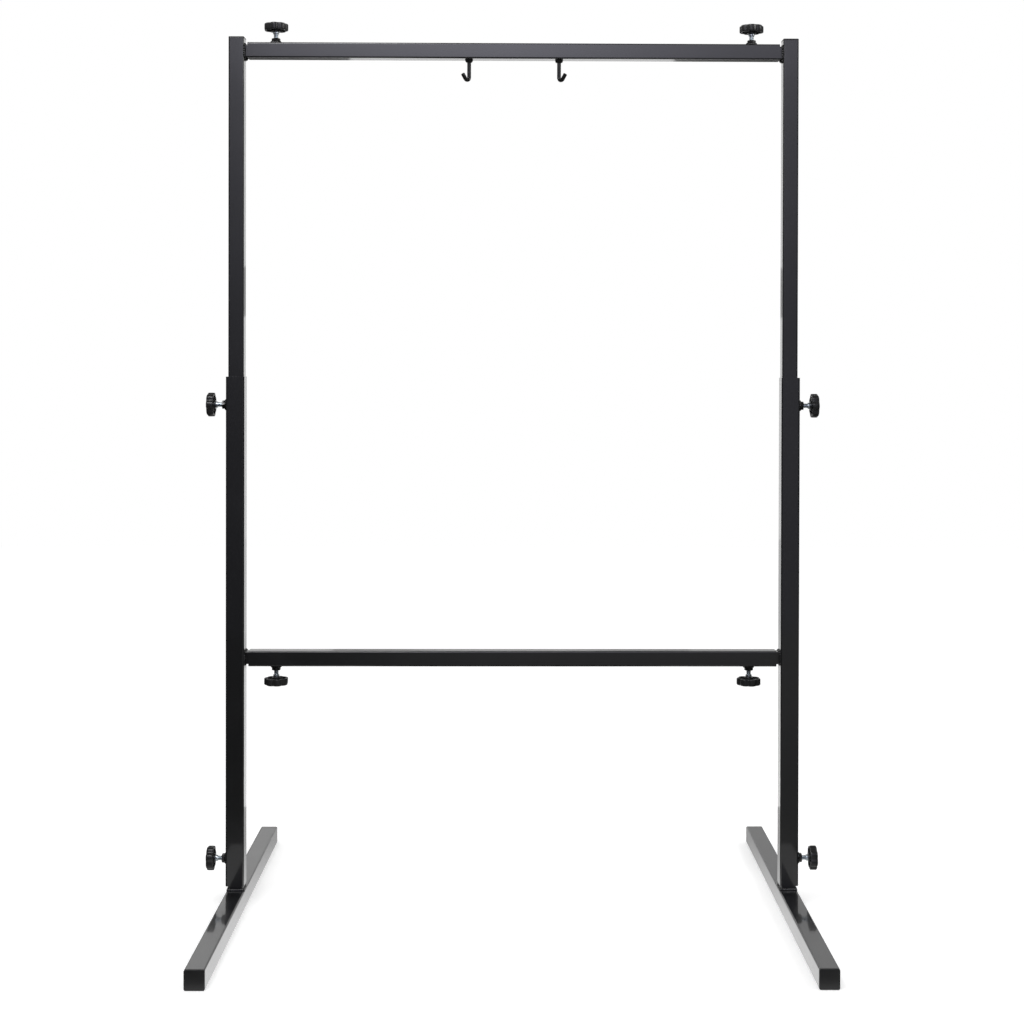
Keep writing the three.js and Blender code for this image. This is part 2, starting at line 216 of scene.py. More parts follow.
def uneven_surface():
    """Waves and fine grain over the object, in millimetres, with a faint change of colour."""
    group = bpy.data.node_groups.new("uneven_surface", "ShaderNodeTree")
    socket(group, "Colour", "INPUT", "NodeSocketColor", (0.01, 0.01, 0.01, 1))
    socket(group, "Dust Colour", "INPUT", "NodeSocketColor", (0.05, 0.05, 0.05, 1))
    socket(group, "Dust", "INPUT", "NodeSocketFloat", 0.1)
    socket(group, "Roughness", "INPUT", "NodeSocketFloat", 0.3)
    socket(group, "Roughness Change", "INPUT", "NodeSocketFloat", 0.05)
    socket(group, "Wave Frequency", "INPUT", "NodeSocketFloat", 300)
    socket(group, "Grain Frequency", "INPUT", "NodeSocketFloat", 2000)
    socket(group, "Grain Share", "INPUT", "NodeSocketFloat", 0.3)
    socket(group, "Colour", "OUTPUT", "NodeSocketColor")
    socket(group, "Roughness", "OUTPUT", "NodeSocketFloat")
    socket(group, "Height", "OUTPUT", "NodeSocketFloat")
    nodes = group.nodes
    taken = nodes.new("NodeGroupInput")
    given = nodes.new("NodeGroupOutput")
    place = nodes.new("ShaderNodeTexCoord")
    wave = nodes.new("ShaderNodeTexNoise")
    wave.inputs["Detail"].default_value = 2
    grain = nodes.new("ShaderNodeTexNoise")
    grain.inputs["Detail"].default_value = 1
    cloud = nodes.new("ShaderNodeTexNoise")
    cloud.inputs["Scale"].default_value = 9
    cloud.inputs["Detail"].default_value = 4
    height = nodes.new("ShaderNodeMix")
    speck = nodes.new("ShaderNodeMapRange")
    speck.inputs["From Min"].default_value = 0.5
    speck.inputs["From Max"].default_value = 0.75
    dust = nodes.new("ShaderNodeMath")
    dust.operation = "MULTIPLY"
    tint = nodes.new("ShaderNodeMix")
    tint.data_type = "RGBA"
    swing = nodes.new("ShaderNodeMath")
    swing.operation = "MULTIPLY_ADD"
    centred = nodes.new("ShaderNodeMath")
    centred.operation = "SUBTRACT"
    centred.inputs[1].default_value = 0.5
    link(
        group,
        [
            (place.outputs["Object"], wave.inputs["Vector"]),
            (place.outputs["Object"], grain.inputs["Vector"]),
            (place.outputs["Object"], cloud.inputs["Vector"]),
            (taken.outputs["Wave Frequency"], wave.inputs["Scale"]),
            (taken.outputs["Grain Frequency"], grain.inputs["Scale"]),
            (taken.outputs["Grain Share"], height.inputs["Factor"]),
            (wave.outputs["Fac"], height.inputs["A"]),
            (grain.outputs["Fac"], height.inputs["B"]),
            (height.outputs["Result"], given.inputs["Height"]),
            (cloud.outputs["Fac"], speck.inputs["Value"]),
            (speck.outputs["Result"], dust.inputs[0]),
            (taken.outputs["Dust"], dust.inputs[1]),
            (dust.outputs["Value"], tint.inputs["Factor"]),
            (taken.outputs["Colour"], tint.inputs[COLOUR_A]),
            (taken.outputs["Dust Colour"], tint.inputs[COLOUR_B]),
            (tint.outputs[COLOUR_OUT], given.inputs["Colour"]),
            (cloud.outputs["Fac"], centred.inputs[0]),
            (centred.outputs["Value"], swing.inputs[0]),
            (taken.outputs["Roughness Change"], swing.inputs[1]),
            (taken.outputs["Roughness"], swing.inputs[2]),
            (swing.outputs["Value"], given.inputs["Roughness"]),
        ],
    )
    return group


uneven = uneven_surface()
print(uneven.name, "takes", len(uneven.interface.items_tree), "sockets")

# %% [markdown]
# The coating on the tube is a glossy black over a rougher black: the clear top layer mirrors the studio
# sharply, and the layer under it softens that mirror. A coat on the Principled shader is just that. On
# the nuts, the hooks and all but the lowest welds the coating lies thin and dull, so they get a blacker
# finish of their own. The grips are glossy plastic with a finer grain, and the caps a duller one.

# %% Coated steel and moulded plastic
def finish_of(name, inputs, bump, distance, **shader):
    """One Principled material that takes its unevenness from the group."""
    made = bpy.data.materials.new(name)
    made.use_nodes = True
    nodes = made.node_tree.nodes
    principled = nodes["Principled BSDF"]
    for socket_name, value in shader.items():
        principled.inputs[socket_name.replace("_", " ")].default_value = value
    surface = nodes.new("ShaderNodeGroup")
    surface.node_tree = uneven
    for socket_name, value in inputs.items():
        surface.inputs[socket_name].default_value = value
    relief = nodes.new("ShaderNodeBump")
    relief.inputs["Strength"].default_value = bump
    relief.inputs["Distance"].default_value = distance
    link(
        made.node_tree,
        [
            (surface.outputs["Colour"], principled.inputs["Base Color"]),
            (surface.outputs["Roughness"], principled.inputs["Roughness"]),
            (surface.outputs["Height"], relief.inputs["Height"]),
            (relief.outputs["Normal"], principled.inputs["Normal"]),
        ],
    )
    return made


black_coat = finish_of(
    "black_coat",
    {
        "Colour": (0.0045, 0.0047, 0.0053, 1),
        "Dust Colour": (0.02, 0.021, 0.023, 1),
        "Dust": 0.1,
        "Roughness": 0.3,
        "Roughness Change": 0.08,
        "Wave Frequency": 320,
        "Grain Frequency": 2400,
        "Grain Share": 0.25,
    },
    0.35,
    0.2 * MM,
    Coat_Weight=1.0,
    Coat_Roughness=0.06,
)
dull_coat = finish_of(
    "dull_coat",
    {
        "Colour": (0.0022, 0.0022, 0.0024, 1),
        "Dust Colour": (0.012, 0.012, 0.013, 1),
        "Dust": 0.1,
        "Roughness": 0.42,
        "Roughness Change": 0.2,
        "Wave Frequency": 500,
        "Grain Frequency": 2600,
        "Grain Share": 0.4,
    },
    0.5,
    0.2 * MM,
    Specular_IOR_Level=0.2,
    Coat_Weight=0.6,
    Coat_Roughness=0.09,
)
grip_plastic = finish_of(
    "grip_plastic",
    {
        "Colour": (0.009, 0.009, 0.0095, 1),
        "Dust Colour": (0.03, 0.03, 0.031, 1),
        "Dust": 0.25,
        "Roughness": 0.3,
        "Roughness Change": 0.12,
        "Wave Frequency": 900,
        "Grain Frequency": 4200,
        "Grain Share": 0.6,
    },
    0.3,
    0.15 * MM,
)
cap_plastic = finish_of(
    "cap_plastic",
    {
        "Colour": (0.009, 0.009, 0.0095, 1),
        "Dust Colour": (0.028, 0.028, 0.029, 1),
        "Dust": 0.3,
        "Roughness": 0.46,
        "Roughness Change": 0.08,
        "Wave Frequency": 1200,
        "Grain Frequency": 3600,
        "Grain Share": 0.7,
    },
    0.4,
    0.15 * MM,
)
print("made", black_coat.name, dull_coat.name, grip_plastic.name, cap_plastic.name)

# %% [markdown]
# The screws are bright zinc plate, slightly blue, turned on a lathe. Fine rings round the screw's own axis
# come from its `made_at` attribute, because the eight screws point four different ways.

# %% Turned and plated steel
def turned_zinc():
    """Zinc plate over turning marks, which only shift the normal a little."""
    made = bpy.data.materials.new("bright_zinc")
    made.use_nodes = True
    nodes = made.node_tree.nodes
    principled = nodes["Principled BSDF"]
    principled.inputs["Metallic"].default_value = 1.0
    place = nodes.new("ShaderNodeAttribute")
    place.attribute_name = "made_at"
    rings = nodes.new("ShaderNodeTexWave")
    rings.wave_type = "BANDS"
    rings.bands_direction = "Z"
    rings.inputs["Scale"].default_value = 900
    rings.inputs["Distortion"].default_value = 1.5
    blotch = nodes.new("ShaderNodeTexNoise")
    blotch.inputs["Scale"].default_value = 350
    tint = nodes.new("ShaderNodeMix")
    tint.data_type = "RGBA"
    tint.inputs[COLOUR_A].default_value = (0.52, 0.6, 0.66, 1)
    tint.inputs[COLOUR_B].default_value = (0.74, 0.77, 0.78, 1)
    rough = nodes.new("ShaderNodeMapRange")
    rough.inputs["To Min"].default_value = 0.16
    rough.inputs["To Max"].default_value = 0.34
    relief = nodes.new("ShaderNodeBump")
    relief.inputs["Strength"].default_value = 0.25
    relief.inputs["Distance"].default_value = 0.05 * MM
    link(
        made.node_tree,
        [
            (place.outputs["Vector"], rings.inputs["Vector"]),
            (place.outputs["Vector"], blotch.inputs["Vector"]),
            (blotch.outputs["Fac"], tint.inputs["Factor"]),
            (tint.outputs[COLOUR_OUT], principled.inputs["Base Color"]),
            (blotch.outputs["Fac"], rough.inputs["Value"]),
            (rough.outputs["Result"], principled.inputs["Roughness"]),
            (rings.outputs["Fac"], relief.inputs["Height"]),
            (relief.outputs["Normal"], principled.inputs["Normal"]),
        ],
    )
    return made


bright_zinc = turned_zinc()
print("made", bright_zinc.name)

# %% [markdown]
# ## Square tube
# The real tube is rolled and welded from 1.5 mm strip, so its corners are round and its walls thin. A box
# with bevelled long edges gives the corners, an inset on each end gives the wall, and bridging the two
# inner loops opens the bore. Weighted normals keep the wide faces flat beside the round corners. The stand
# needs three sizes of tube, of which each slides inside the next.

# %% One length of square tube
WIDE = 38 * MM
MEDIUM = 32 * MM
NARROW = 26 * MM
WALL = 1.5 * MM
CORNER = 3.2 * MM
NARROW_CORNER = 2 * MM
RIM_BREAK = 0.2 * MM


def rim_edge(edge):
    """True where a wall of the tube meets the end of the tube."""
    if len(edge.link_faces) != 2:
        return False
    first, second = (abs(face.normal.z) for face in edge.link_faces)
    return abs(first - second) > 0.5


def square_tube(side, length, corner=CORNER):
    """A hollow tube that stands on the origin, with a fine break along the rims of its ends."""
    start(bpy.ops.mesh.primitive_cube_add, size=1)
    stretch(side, side, length)
    shift(0, 0, length / 2)
    pick("EDGE", lambda e: abs(e.verts[0].co.z - e.verts[1].co.z) > length / 2)
    bpy.ops.mesh.bevel(offset=corner, segments=6, affect="EDGES")
    pick("FACE", lambda f: abs(f.normal.z) > 0.9)
    bpy.ops.mesh.inset(thickness=WALL)
    bpy.ops.mesh.delete(type="FACE")
    pick("EDGE", lambda e: e.is_boundary)
    bpy.ops.mesh.bridge_edge_loops()
    pick("EDGE", rim_edge)
    bpy.ops.mesh.bevel(offset=RIM_BREAK, segments=2, affect="EDGES")
    return close()


sample = square_tube(WIDE, 200 * MM)
print("a tube has", len(sample.data.polygons), "faces")
spare(sample)

# %% [markdown]
# Each clamp screw passes through one wall, so the lower legs and the crossbars have a hole behind each
# nut. A drill the size of the hole is taken from the tube with a Boolean modifier.

# %% Drill a wall and flatten the shading
def cut(piece, tool, operation="DIFFERENCE"):
    """Applies one Boolean of a tool to a piece, and takes the tool away."""
    apply_modifier(piece, "BOOLEAN", object=tool, operation=operation, solver="EXACT")
    spare(tool)


def drill(piece, radius, at=(0, 0, 0), toward=(0, 0, 1), depth=10 * MM, vertices=32):
    """Takes a round hole out of a piece, about a point and along a direction."""
    bpy.ops.object.select_all(action="DESELECT")
    bpy.ops.mesh.primitive_cylinder_add(vertices=vertices, radius=radius, depth=depth, location=(0, 0, 0))
    bit = bpy.context.object
    turn = Vector((0, 0, 1)).rotation_difference(Vector(toward)).to_matrix().to_4x4()
    bit.data.transform(Matrix.Translation(at) @ turn)
    cut(piece, bit)


def flatten(piece):
    """Lets the wide faces set the shading, so that they look flat between their round edges."""
    return apply_modifier(piece, "WEIGHTED_NORMAL", keep_sharp=True)


HOLE = 5.8 * MM
print("clamp holes are", round(2 * HOLE / MM, 1), "mm across")

# %% [markdown]
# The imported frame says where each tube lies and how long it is. A tube is modelled upright, drilled while
# it stands at the origin, and only then turned and moved into place.

# %% Feet and legs
sides = {"left": -1, "right": 1}
along_y = Matrix.Rotation(math.radians(-90), 4, "X")


def wall_middle(width):
    """How far the middle of a tube's wall is from the tube's axis."""
    return (width - WALL) / 2


def tube_at(node, name, width, turn, body, holes=()):
    """A tube in the place of a packed one, which gives its length and its start."""
    low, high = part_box(node)
    size = turn.inverted().to_3x3() @ (high - low)
    length = abs(size.z)
    centre = (low + high) / 2
    tube = square_tube(width, length)
    for at in holes:
        drill(tube, HOLE, at, toward=(1, 0, 0))
    flatten(tube)
    start_point = centre - turn.to_3x3() @ Vector((0, 0, length / 2))
    where = Matrix.Translation(start_point) @ turn
    settle(tube, name, where, body, "frame_paint", black_coat, node)
    spare(tube)


def leg_holes(name, side):
    """Where the two clamp screws pass through a lower leg, measured from its foot."""
    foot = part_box(f"{name}_lower_leg")[0].z
    heights = [middle(f"{name}_{clamp}_nut").z - foot for clamp in ("foot", "height")]
    return [Vector((side * wall_middle(WIDE), 0, z)) for z in heights]


upright = Matrix.Identity(4)
for name, side in sides.items():
    leg = f"{name}_lower_leg"
    tube_at(f"{name}_foot_tube", f"{name}_foot_steel", WIDE, along_y, "lower_frame")
    tube_at(leg, f"{leg}_steel", WIDE, upright, "lower_frame", leg_holes(name, side))
    tube_at(f"{name}_upper_leg", f"{name}_upper_leg_steel", MEDIUM, upright, "upper_frame")
print("feet and legs are in place")

# %% Crossbars
along_x = Matrix.Rotation(math.radians(90), 4, "Y")


def bar_holes(bar, clamp, wall_x):
    """Where the clamp screws pass through one wall of a crossbar, measured from its left end."""
    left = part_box(bar)[0].x
    runs = [middle(f"{name}_{clamp}_nut").x - left for name in sides]
    return [Vector((wall_x, 0, run)) for run in runs]


# The turn along X brings the tube's -X wall to the top.
top_holes = bar_holes("top_crossbar", "top_bar", -wall_middle(MEDIUM))
lower_holes = bar_holes("lower_crossbar", "lower_bar", wall_middle(MEDIUM))
tube_at("top_crossbar", "top_crossbar_steel", MEDIUM, along_x, "upper_frame", top_holes)
tube_at("lower_crossbar", "lower_crossbar_steel", MEDIUM, along_x, "lower_frame", lower_holes)
print("crossbars are in place")

# %% [markdown]
# ## Welds
# A hand-laid weld is a row of small puddles, each frozen over the last. So a bead is modelled that way: a
# flattened ball for each puddle, a little different from its neighbours, all merged by a fine voxel remesh
# and softened. The numbers come from a fixed seed, so the bead is the same on each run. Under each top
# stub, which carries the load, the welder has left one large lump more.

# %% Lay a bead of puddles
VOXEL = 0.45 * MM
SUNK = 1.0 * MM


def outline(half, corner, count):
    """Points and outward directions at even steps round a square with round corners."""
    straight = 2 * (half - corner)
    arc = corner * math.pi / 2
    total = 4 * (straight + arc)
    found = []
    for step in range(count):
        run = step * total / count
        quarter, rest = divmod(run, straight + arc)
        if rest < straight:
            point = Vector((half, rest - straight / 2))
            out = Vector((1, 0))
        else:
            angle = (rest - straight) / corner
            out = Vector((math.cos(angle), math.sin(angle)))
            point = Vector((half - corner, straight / 2)) + corner * out
        spin = Matrix.Rotation(quarter * math.pi / 2, 2)
        found.append((spin @ point, spin @ out))
    return found


def ring(radius, count):
    """Points and outward directions at even steps round a circle."""
    angles = [2 * math.pi * step / count for step in range(count)]
    outs = [Vector((math.cos(a), math.sin(a))) for a in angles]
    return [(radius * out, out) for out in outs]


def bead(places, across, high, long, seed):
    """Merges a row of puddles round a joint that lies at z = 0. Their half sizes are in millimetres."""
    chance = random.Random(seed)
    puddles = []
    for point, out in places:
        bpy.ops.object.select_all(action="DESELECT")
        bpy.ops.mesh.primitive_uv_sphere_add(segments=16, ring_count=10, radius=1, location=(0, 0, 0))
        puddle = bpy.context.object
        grow = chance.uniform(0.9, 1.12)
        sizes = Matrix.Diagonal((across * grow * MM, long * MM, high * chance.uniform(0.88, 1.1) * MM, 1))
        lean = Matrix.Rotation(math.radians(chance.uniform(6, 12)), 4, "X")
        facing = Matrix.Rotation(math.atan2(out.y, out.x), 4, "Z")
        spot = Matrix.Translation((point.x, point.y, 0))
        puddle.data.transform(spot @ facing @ lean @ sizes)
        puddles.append(puddle)
    row = fuse(puddles)
    apply_modifier(row, "REMESH", mode="VOXEL", voxel_size=VOXEL, use_smooth_shade=True)
    return apply_modifier(row, "SMOOTH", factor=0.5, iterations=4)


def seat(row):
    """Cuts the back of a bead off flat inside the wall it lies on, so that a tube can slide behind it."""
    take(row)
    bpy.ops.object.mode_set(mode="EDIT")
    bpy.ops.mesh.select_all(action="SELECT")
    bpy.ops.mesh.bisect(plane_co=(0, 0, -SUNK), plane_no=(0, 0, 1), use_fill=True, clear_inner=True)
    return close(60)


trial = seat(bead(ring(10 * MM, 20), across=2.6, high=5, long=2.4, seed=1))
print("a bead has", len(trial.data.polygons), "faces")
spare(trial)

# %% [markdown]
# Each foot carries a short upright spigot that the lower leg stands over, and each leg carries stubs that
# the crossbars push on to. An upper leg slides past the lower stubs' welds, so those are cut off flat.

# %% Spigots and stubs
spigot_bead = bead(outline(16.4 * MM, 2.5 * MM, 34), across=3.0, high=5.2, long=3.0, seed=11)
stub_places = outline(13.3 * MM, NARROW_CORNER, 28)
stub_beads = {level: bead(stub_places, across=2.9, high=3.7, long=2.8, seed=23) for level in ("lower", "top")}
seat(stub_beads["lower"])
under_stub = [(Vector((13.2 * MM, 0)), Vector((1, 0)))]
stub_lump = bead(under_stub, across=6.6, high=6.8, long=8.2, seed=5)
for name, side in sides.items():
    inward = Matrix.Rotation(-side * math.radians(90), 4, "Y")
    node = f"{name}_foot_spigot"
    foot_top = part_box(f"{name}_foot_tube")[1].z
    spigot = flatten(square_tube(MEDIUM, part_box(node)[1].z - foot_top))
    where = Matrix.Translation((middle(f"{name}_foot_tube").x, 0, foot_top))
    settle(spigot, f"{name}_spigot_steel", where, "lower_frame", "frame_paint", black_coat, node)
    settle(spigot_bead, f"{name}_spigot_weld", where, "lower_frame", "frame_paint", black_coat)
    spare(spigot)
    for level, leg, body in (("lower", "lower_leg", "lower_frame"), ("top", "upper_leg", "upper_frame")):
        node = f"{name}_{level}_stub"
        low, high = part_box(node)
        leg_low, leg_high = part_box(f"{name}_{leg}")
        face = leg_high.x if side < 0 else leg_low.x
        tip = high.x if side < 0 else low.x
        stub = flatten(square_tube(NARROW, abs(tip - face), NARROW_CORNER))
        at = Matrix.Translation((face, 0, (low.z + high.z) / 2)) @ inward
        settle(stub, f"{name}_{level}_stub_steel", at, body, "frame_paint", black_coat, node)
        settle(stub_beads[level], f"{name}_{level}_stub_weld", at, body, "frame_paint", dull_coat)
        spare(stub)
        if level == "top":
            below = at @ Matrix.Rotation(math.pi if side > 0 else 0, 4, "Z")
            settle(stub_lump, f"{name}_top_stub_lump", below, body, "frame_paint", dull_coat)
spare(spigot_bead, stub_lump, *stub_beads.values())
print("spigots and stubs are welded on")

# %% [markdown]
# ## Clamp nuts
# Behind each knob a hex nut is welded over its hole. The nut is a six-sided prism whose corners are
# turned off by a shallow cone, as on every bought nut, then bored. Its weld is the same row of puddles,
# taller than it is wide, so that it climbs the flats.

# %% Hex nut on a cone of weld
TURNED_OFF = math.radians(30)


def hex_nut(flats, height, bore):
    """A nut that stands on the origin, its bore given as a radius."""
    start(bpy.ops.mesh.primitive_cylinder_add, vertices=6, radius=flats / math.sqrt(3), depth=height)
    shift(0, 0, height / 2)
    pick("EDGE", lambda e: abs(e.verts[0].co.z - e.verts[1].co.z) > height / 2)
    bpy.ops.mesh.bevel(offset=0.3 * MM, segments=2, affect="EDGES")
    nut = close()
    bpy.ops.object.select_all(action="DESELECT")
    reach = flats / 2 * 0.97
    bpy.ops.mesh.primitive_cone_add(
        vertices=72,
        radius1=reach + height / math.tan(TURNED_OFF),
        radius2=reach,
        depth=height,
        location=(0, 0, 0),
    )
    chamfer = bpy.context.object
    chamfer.data.transform(Matrix.Translation((0, 0, height / 2)))
    cut(nut, chamfer, "INTERSECT")
    drill(nut, bore, depth=3 * height, vertices=48)
    take(nut)
    bpy.ops.object.shade_smooth_by_angle(angle=math.radians(25))
    return nut


clamp_nut = hex_nut(flats=17 * MM, height=9.5 * MM, bore=5.1 * MM)
nut_bead = bead(ring(9.1 * MM, 17), across=3.2, high=4.6, long=2.7, seed=31)
drill(nut_bead, 5.4 * MM, depth=60 * MM)
seat(nut_bead)
print("nut:", len(clamp_nut.data.polygons), "faces, its weld:", len(nut_bead.data.polygons))

# %% [markdown]
# ## Clamp screws
# An M10 screw has a 1.5 mm pitch. One triangle, swept round the core by a Screw modifier, is the thread's
# ridge, and a plain core and collar carry it. The ridge is closed at both ends and sunk into the core.

# %% Threaded screw with a collar
PITCH = 1.5 * MM
RIDGE = 0.63 * MM
MOULDED_IN = 11 * MM


def thread(radius, low, turns):
    """A helical ridge whose crest is at the radius."""
    ridge = start(bpy.ops.mesh.primitive_circle_add, vertices=3, radius=RIDGE, fill_type="NOTHING")
    bpy.ops.object.mode_set(mode="OBJECT")
    lie = Matrix.Rotation(math.radians(-90), 4, "Z")
    stand = Matrix.Rotation(math.radians(90), 4, "X")
    ridge.data.transform(Matrix.Translation((radius - RIDGE, 0, low)) @ stand @ lie)
    apply_modifier(
        ridge,
        "SCREW",
        angle=2 * math.pi,
        screw_offset=PITCH,
        iterations=turns,
        steps=32,
        render_steps=32,
        use_merge_vertices=True,
        merge_threshold=1e-6,
    )
    bpy.ops.object.mode_set(mode="EDIT")
    pick("EDGE", lambda e: e.is_boundary)
    bpy.ops.mesh.fill()
    return close()


def rod(radius, low, high, edge):
    """A round bar from one height to another, its two rims broken."""
    start(bpy.ops.mesh.primitive_cylinder_add, vertices=64, radius=radius, depth=high - low)
    shift(0, 0, (low + high) / 2)
    pick("EDGE", lambda e: abs(e.link_faces[0].normal.z - e.link_faces[1].normal.z) > 0.5)
    bpy.ops.mesh.bevel(offset=edge, segments=3, affect="EDGES")
    return close()


def clamp_screw():
    """A screw that points down from z = 0, where its collar meets the grip that is moulded on it."""
    ridge = thread(5 * MM, -27 * MM, 14)
    core = rod(4.2 * MM, -28 * MM, MOULDED_IN, 0.8 * MM)
    collar = rod(6.3 * MM, -5 * MM, 0, 0.35 * MM)
    return fuse([core, ridge, collar])


screw = clamp_screw()
print("screw:", len(screw.data.polygons), "faces")

# %% [markdown]
# ## Star grips
# The grip is moulded round the screw: a hub, a rim with seven wide lobes and narrow hollows, and a low
# crown. A cylinder with twelve columns to a lobe is the start. The columns of each hollow are drawn in
# together, the top is then stepped up and in, and one level of subdivision rounds it all as a mould would.
# Underneath, the same steps lead round the rim and up again, and seven thin ribs brace the rim to the hub.

# %% Lobed grip
LOBES = 7
COLUMNS = 12
GRIP = 25 * MM
HOLLOW = 3.2 * MM
# Each step: how far the face rises, in millimetres, and what it is then scaled by.
CROWN = ((0.9, 0.992), (1.0, 0.965), (0.9, 0.9), (0.5, 0.82), (0.3, 0.7), (0.1, 0.5))
UNDERSIDE = ((-0.9, 0.98), (-0.4, 0.96), (0, 0.9), (0.5, 0.985), (6.5, 0.97), (0, 0.62))


def column(vertex):
    """How far round its lobe a vertex stands, from 0 at one crest to COLUMNS at the next."""
    turn = math.atan2(vertex.co.y, vertex.co.x) * LOBES / (2 * math.pi)
    return round((turn % 1) * COLUMNS) % COLUMNS


def extrude(rise):
    """Extrudes the selected face along Z."""
    bpy.ops.mesh.extrude_region_move(TRANSFORM_OT_translate={"value": (0, 0, rise)})


def follow(steps):
    """Leads the selected face through some steps and closes it to a point."""
    for rise, scale in steps:
        extrude(rise * MM)
        stretch(scale, scale, 1)
    bpy.ops.mesh.poke()


def star_grip():
    """A grip whose hub meets the screw's collar at z = 0."""
    start(
        bpy.ops.mesh.primitive_cylinder_add,
        vertices=LOBES * COLUMNS,
        radius=GRIP,
        depth=10.6 * MM,
        end_fill_type="NGON",
    )
    shift(0, 0, 8.7 * MM)
    bpy.ops.transform.rotate(value=math.radians(90), orient_axis="Z", center_override=(0, 0, 0))
    for place in range(1, COLUMNS // 2 + 1):
        depth = HOLLOW * ((1 - math.cos(2 * math.pi * place / COLUMNS)) / 2) ** 2
        pick("VERT", lambda v: column(v) in (place, COLUMNS - place))
        stretch(1 - depth / GRIP, 1 - depth / GRIP, 1)
    pick("FACE", lambda f: f.normal.z > 0.9)
    follow(CROWN)
    pick("FACE", lambda f: f.normal.z < -0.9 and len(f.verts) > 8)
    follow(UNDERSIDE)
    body = apply_modifier(close(60), "SUBSURF", levels=1, render_levels=1)
    hub = rod(9.5 * MM, 0.1 * MM, 12 * MM, 0.5 * MM)
    ribs = []
    for lobe in range(LOBES):
        bar = start(bpy.ops.mesh.primitive_cube_add, size=1)
        stretch(13 * MM, 1.6 * MM, 8 * MM)
        pick("EDGE", lambda e: max(v.co.z for v in e.verts) < 0)
        bpy.ops.mesh.bevel(offset=0.4 * MM, segments=2, affect="EDGES")
        close()
        spoke = Matrix.Rotation(math.radians(90) + 2 * math.pi * lobe / LOBES, 4, "Z")
        bar.data.transform(spoke @ Matrix.Translation((14 * MM, 0, 7.4 * MM)))
        ribs.append(bar)
    return fuse([body, hub, *ribs])


grip = star_grip()
size = grip.dimensions / MM
print("grip:", [round(v, 1) for v in size], "mm,", len(grip.data.polygons), "faces")

# %% [markdown]
# ## The eight clamps
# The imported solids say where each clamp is: the nut's box gives its centre, and the screw's far end, less
# the length that is moulded into the grip, gives the hub. Each clamp is then one turn and one move.

# %% Fit nuts, welds, screws and grips
quarter = math.radians(90)
# How far each grip happens to be turned, in lobes.
lobe_spin = {"height": 0.25, "foot": 0.6, "top_bar": 0.1, "lower_bar": 0.45}


def clamp_way(clamp, side):
    """The direction of a clamp from its nut to its grip, and the turn that brings +Z there."""
    if clamp == "top_bar":
        return Vector((0, 0, 1)), Matrix.Identity(4)
    if clamp == "lower_bar":
        return Vector((0, 0, -1)), Matrix.Rotation(2 * quarter, 4, "X")
    return Vector((side, 0, 0)), Matrix.Rotation(side * quarter, 4, "Y")


def ends(node, way):
    """How far the near and the far end of a solid lie along a direction."""
    return sorted(corner.dot(way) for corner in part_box(node))


for name, side in sides.items():
    for clamp, lobes_on in lobe_spin.items():
        way, turn = clamp_way(clamp, side)
        stem = f"{name}_{clamp}"
        holder = "upper_frame" if clamp == "top_bar" else "lower_frame"
        centre = middle(f"{stem}_nut")
        axis_point = centre - centre.dot(way) * way
        at_nut = Matrix.Translation(axis_point + ends(f"{stem}_nut", way)[0] * way) @ turn
        hub = ends(f"{stem}_knob_stud", way)[1] - MOULDED_IN
        spin = Matrix.Rotation(lobes_on * 2 * math.pi / LOBES, 4, "Z")
        at_knob = Matrix.Translation(axis_point + hub * way) @ turn @ spin
        knob = f"{stem}_knob"
        settle(clamp_nut, f"{stem}_hex_nut", at_nut, holder, "frame_paint", dull_coat, f"{stem}_nut")
        settle(nut_bead, f"{stem}_nut_weld", at_nut, holder, "frame_paint", dull_coat)
        settle(screw, f"{stem}_screw", at_knob, knob, "screw_zinc", bright_zinc, f"{knob}_stud")
        settle(grip, f"{stem}_grip", at_knob, knob, "grip_plastic", grip_plastic, f"{knob}_grip")
spare(clamp_nut, nut_bead, screw, grip)
print("eight clamps are fitted")

# %% [markdown]
# ## End caps
# A push-in cap is a thin square lid with soft edges and a hollow plug that grips inside the tube. It grows
# from one box: the lid's underside is inset to the plug's size and drawn down, then hollowed from below.

# %% Push-in cap
LID_GAP = 0.05 * MM
PLUG_GAP = 0.3 * MM
PLUG_WALL = 1.6 * MM
PLUG = 13.5 * MM
PLUG_HOLLOW = 13 * MM


def push_in_cap(width, flange):
    """A cap whose lid rests on a tube's end at z = 0, with its plug below."""
    start(bpy.ops.mesh.primitive_cube_add, size=1)
    stretch(width, width, flange)
    shift(0, 0, flange / 2 + LID_GAP)
    pick("EDGE", lambda e: abs(e.verts[0].co.z - e.verts[1].co.z) > flange / 2)
    bpy.ops.mesh.bevel(offset=CORNER, segments=6, affect="EDGES")
    pick("EDGE", lambda e: min(v.co.z for v in e.verts) > flange * 0.9)
    bpy.ops.mesh.bevel(offset=1.1 * MM, segments=5, affect="EDGES")
    pick("FACE", lambda f: f.normal.z < -0.9)
    bpy.ops.mesh.inset(thickness=WALL + PLUG_GAP)
    extrude(-PLUG)
    bpy.ops.mesh.inset(thickness=PLUG_WALL)
    extrude(PLUG_HOLLOW)
    return flatten(close())


